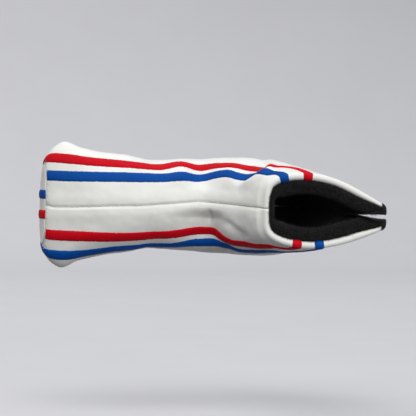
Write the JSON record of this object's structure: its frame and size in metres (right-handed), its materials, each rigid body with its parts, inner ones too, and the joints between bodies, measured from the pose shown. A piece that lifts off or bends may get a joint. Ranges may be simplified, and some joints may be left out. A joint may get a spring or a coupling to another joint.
{
  "type": "putter head cover",
  "caption": "Padded boot-shaped head cover for a blade putter, white faux leather with red and blue embroidered stripe pairs, black plush lining and two magnetic heel flaps.",
  "frame": {"origin": "on the surface that the cover lies on, under the middle of its box, with the lower side panel down", "axes": "+X from the toe end to the heel, +Z from the lower side panel to the upper one, -Y from the sole to the side with the mouth"},
  "size_m": [0.1626, 0.0946, 0.0659],
  "materials": {
    "white_faux_leather": "smooth off-white polyurethane leather with a fine pebble",
    "padding_foam": "open-cell foam sheet",
    "black_plush": "short black plush pile",
    "black_edge_binding": "black plush edge binding",
    "pouch_cloth": "plain woven cloth",
    "magnet_nickel": "nickel-plated disc magnet",
    "red_embroidery": "satin-stitch embroidery thread",
    "blue_embroidery": "satin-stitch embroidery thread",
    "white_thread": "bonded sewing thread"
  },
  "bodies": {
    "root": {"upper_side_panel": "white_faux_leather", "lower_side_panel": "white_faux_leather", "sole_panel": "white_faux_leather", "upper_side_foam": "padding_foam", "lower_side_foam": "padding_foam", "sole_foam": "padding_foam", "upper_side_lining": "black_plush", "lower_side_lining": "black_plush", "sole_lining": "black_plush", "upper_red_stripe": "red_embroidery", "upper_blue_stripe": "blue_embroidery", "lower_red_stripe": "red_embroidery", "lower_blue_stripe": "blue_embroidery", "sole_red_stripe": "red_embroidery", "sole_blue_stripe": "blue_embroidery", "instep_seam_thread": "white_thread", "toe_seam_thread": "white_thread", "upper_sole_seam_thread": "white_thread", "lower_sole_seam_thread": "white_thread", "heel_bar_tack": "white_thread"},
    "upper_flap": {"upper_flap_panel": "white_faux_leather", "upper_flap_foam": "padding_foam", "upper_flap_lining": "black_plush", "upper_flap_binding": "black_edge_binding", "upper_magnet": "magnet_nickel", "upper_magnet_pouch": "pouch_cloth"},
    "lower_flap": {"lower_flap_panel": "white_faux_leather", "lower_flap_foam": "padding_foam", "lower_flap_lining": "black_plush", "lower_flap_binding": "black_edge_binding", "lower_magnet": "magnet_nickel", "lower_magnet_pouch": "pouch_cloth"}
  },
  "joints": [
    {"name": "upper_flap_fold", "type": "hinge", "parent": "root", "child": "upper_flap", "pos_m": [0.0551, -0.0374, 0.05425], "axis": [-0.215, -0.9727, 0.0873], "range_deg": [0, 32], "stiffness_Nm_per_rad": 0.08},
    {"name": "lower_flap_fold", "type": "hinge", "parent": "root", "child": "lower_flap", "pos_m": [0.0551, -0.0374, 0.01165], "axis": [0.215, 0.9727, 0.0873], "range_deg": [0, 32], "stiffness_Nm_per_rad": 0.08}
  ]
}
